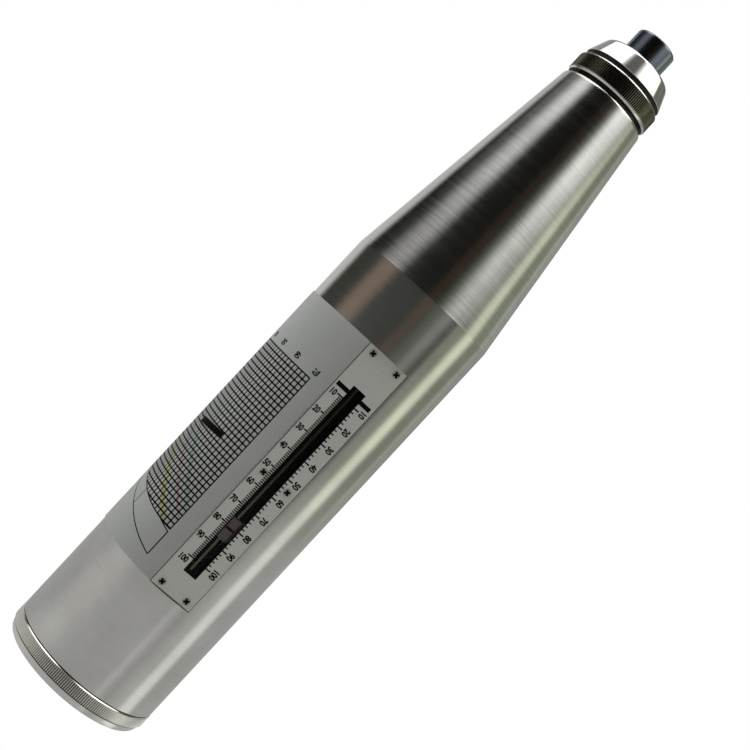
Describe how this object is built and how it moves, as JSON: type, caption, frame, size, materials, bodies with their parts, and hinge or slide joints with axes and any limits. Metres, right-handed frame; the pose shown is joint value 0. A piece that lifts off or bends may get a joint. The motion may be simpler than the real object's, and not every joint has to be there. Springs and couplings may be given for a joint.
{
  "type": "concrete test hammer",
  "caption": "Spring-driven rebound hammer for testing concrete: a slim metal barrel with a tapered nose, a sliding plunger, a knurled rear cover and a scale with a sliding rider.",
  "frame": {"origin": "centre of the flat rear face, on the tool's axis", "axes": "+Z along the tool's axis to the plunger's tip; the scale plate faces -Y; the lock button points to +Y; the chart label lies on the -X side"},
  "size_m": [0.0554, 0.0646, 0.2826],
  "materials": {
    "barrel_metal": "finely turned, clear",
    "nickel": "nickel plated, polished",
    "cover_metal": "turned and knurled",
    "blued_steel": "hardened and blued",
    "steel": "turned",
    "spring_steel": "drawn wire, oiled",
    "dark_screw": "blackened",
    "felt": "pressed felt",
    "scale_metal": "satin, printed in black",
    "label_foil": "matt foil, printed chart",
    "clear_plastic": "clear strip",
    "rider_plastic": "milky, with a red index line",
    "rod_steel": "polished, yellowish"
  },
  "bodies": {
    "body": {"housing": "barrel_metal", "rear_cover": "cover_metal", "trip_screw": "dark_screw", "lock_nut": "steel", "front_cap": "nickel", "split_ring": "steel", "felt_washer": "felt", "guide_sleeve": "steel", "impact_spring": "spring_steel", "compression_spring": "spring_steel", "scale_plate": "scale_metal", "plate_screws": "dark_screw", "window": "clear_plastic", "rider_rod": "rod_steel", "rod_brackets": "steel", "chart_label": "label_foil", "button_bush": "cover_metal", "button_spring": "spring_steel"},
    "carriage": {"guide_bar": "steel", "guide_disk": "steel", "pawl_pin": "steel", "pawl_spring": "spring_steel", "retaining_spring": "spring_steel"},
    "plunger": {"plunger": "blued_steel"},
    "pawl": {"pawl": "blued_steel"},
    "mass": {"hammer_mass": "steel"},
    "rider": {"rider": "rider_plastic", "rider_leaf": "spring_steel"},
    "button": {"push_button": "nickel", "button_clip": "spring_steel"}
  },
  "joints": [
    {"name": "plunger_slide", "type": "slide", "parent": "body", "child": "carriage", "axis": [0, 0, 1], "range_m": [0, 0.075], "deforming": ["compression_spring", "impact_spring"]},
    {"name": "mass_slide", "type": "slide", "parent": "body", "child": "mass", "axis": [0, 0, 1], "range_m": [0, 0.075]},
    {"name": "plunger_buffer", "type": "slide", "parent": "carriage", "child": "plunger", "axis": [0, 0, 1], "range_m": [-0.003, 0], "stiffness_N_per_m": 2000, "springref_m": 0.003, "deforming": ["retaining_spring"]},
    {"name": "pawl_pivot", "type": "hinge", "parent": "carriage", "child": "pawl", "pos_m": [0.0126, 0, 0.0251], "axis": [0, 1, 0], "range_deg": [0, 12], "stiffness_Nm_per_rad": 0.05, "springref_deg": -5.73, "deforming": ["pawl_spring"]},
    {"name": "rider_slide", "type": "slide", "parent": "body", "child": "rider", "axis": [0, 0, 1], "range_m": [-0.0135, 0.0615]},
    {"name": "button_press", "type": "slide", "parent": "body", "child": "button", "axis": [0, -1, 0], "range_m": [0, 0.004], "stiffness_N_per_m": 400, "springref_m": -0.002, "deforming": ["button_spring"]}
  ],
  "couplings": [
    {"joint": "mass_slide", "follows": "plunger_slide", "ratio": 1}
  ]
}
